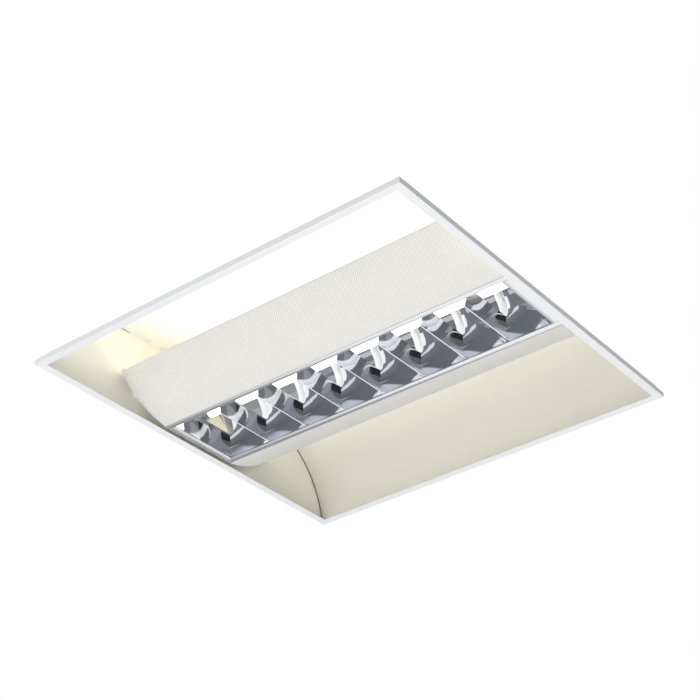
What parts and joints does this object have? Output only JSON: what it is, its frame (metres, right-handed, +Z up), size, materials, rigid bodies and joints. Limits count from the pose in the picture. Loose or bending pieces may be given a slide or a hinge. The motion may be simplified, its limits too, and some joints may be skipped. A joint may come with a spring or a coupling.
{
  "type": "recessed ceiling light",
  "caption": "Square recessed ceiling light for a lay-in grid, with curved white reflectors and a hinged basket of perforated wings and a mirror louvre.",
  "frame": {"origin": "centre of the underside of the trim flange, the plane that lies on the ceiling grid", "axes": "+Z up into the ceiling, +X along the lamps and the louvre, +Y towards the hinge side of the basket"},
  "size_m": [0.595, 0.595, 0.143],
  "materials": {
    "white_paint": "satin white powder coat",
    "mirror_aluminium": "bright anodised mirror",
    "zinc_steel": "zinc plated",
    "spring_steel": "bright spring steel",
    "rivet_aluminium": "plain aluminium",
    "brass_screw": "plain brass",
    "opal_plastic": "opal acrylic",
    "holder_plastic": "white moulded plastic",
    "board_laminate": "glass laminate",
    "grommet_rubber": "matt moulded rubber",
    "lamp_glass": "white coated glass",
    "cap_aluminium": "drawn aluminium",
    "lead_insulation": "white insulation"
  },
  "bodies": {
    "housing": {"ballast_board": "board_laminate", "ballast_case": "zinc_steel", "ballast_screws": "zinc_steel", "ballast_terminals": "holder_plastic", "body_rivets": "rivet_aluminium", "cable_grommet": "grommet_rubber", "corner_keys": "zinc_steel", "earth_screw": "brass_screw", "end_plate_left": "white_paint", "end_plate_right": "white_paint", "gear_cover": "white_paint", "gear_cover_screws": "zinc_steel", "hinge_bushes": "holder_plastic", "holder_screws": "zinc_steel", "hood_spacers": "zinc_steel", "lamp_holders_left": "holder_plastic", "lamp_holders_right": "holder_plastic", "lamp_hood": "mirror_aluminium", "lamp_leads": "lead_insulation", "latch_brackets": "zinc_steel", "latch_clips": "spring_steel", "lug_rivets": "rivet_aluminium", "side_reflector_back": "white_paint", "side_reflector_front": "white_paint", "supply_leads": "lead_insulation", "suspension_lugs": "zinc_steel", "terminal_block": "holder_plastic", "terminal_screws": "zinc_steel", "top_plate": "white_paint", "trim_rail_back": "white_paint", "trim_rail_front": "white_paint", "trim_rail_left": "white_paint", "trim_rail_right": "white_paint"},
    "basket": {"wing_back": "white_paint", "wing_front": "white_paint", "diffuser_back": "opal_plastic", "diffuser_front": "opal_plastic", "basket_end_right": "white_paint", "basket_end_left": "white_paint", "hinge_pins": "zinc_steel", "latch_studs": "zinc_steel", "louvre_side_back": "mirror_aluminium", "louvre_side_front": "mirror_aluminium", "louvre_end_right": "mirror_aluminium", "louvre_end_left": "mirror_aluminium", "cross_blades": "mirror_aluminium"},
    "lamp_front": {"lamp_tube_front": "lamp_glass", "lamp_caps_front": "cap_aluminium", "lamp_rotors_front": "holder_plastic"},
    "lamp_centre": {"lamp_tube_centre": "lamp_glass", "lamp_caps_centre": "cap_aluminium", "lamp_rotors_centre": "holder_plastic"},
    "lamp_back": {"lamp_tube_back": "lamp_glass", "lamp_caps_back": "cap_aluminium", "lamp_rotors_back": "holder_plastic"}
  },
  "joints": [
    {"name": "basket_swing", "type": "hinge", "parent": "housing", "child": "basket", "pos_m": [0, 0.14, 0.046], "axis": [1, 0, 0], "range_deg": [0, 90], "deforming": ["latch_clips"]},
    {"name": "lamp_twist_front", "type": "hinge", "parent": "housing", "child": "lamp_front", "pos_m": [0, -0.104, 0.066], "axis": [1, 0, 0], "range_deg": [0, 90]},
    {"name": "lamp_twist_centre", "type": "hinge", "parent": "housing", "child": "lamp_centre", "pos_m": [0, 0, 0.052], "axis": [1, 0, 0], "range_deg": [0, 90]},
    {"name": "lamp_twist_back", "type": "hinge", "parent": "housing", "child": "lamp_back", "pos_m": [0, 0.104, 0.066], "axis": [1, 0, 0], "range_deg": [0, 90]}
  ]
}
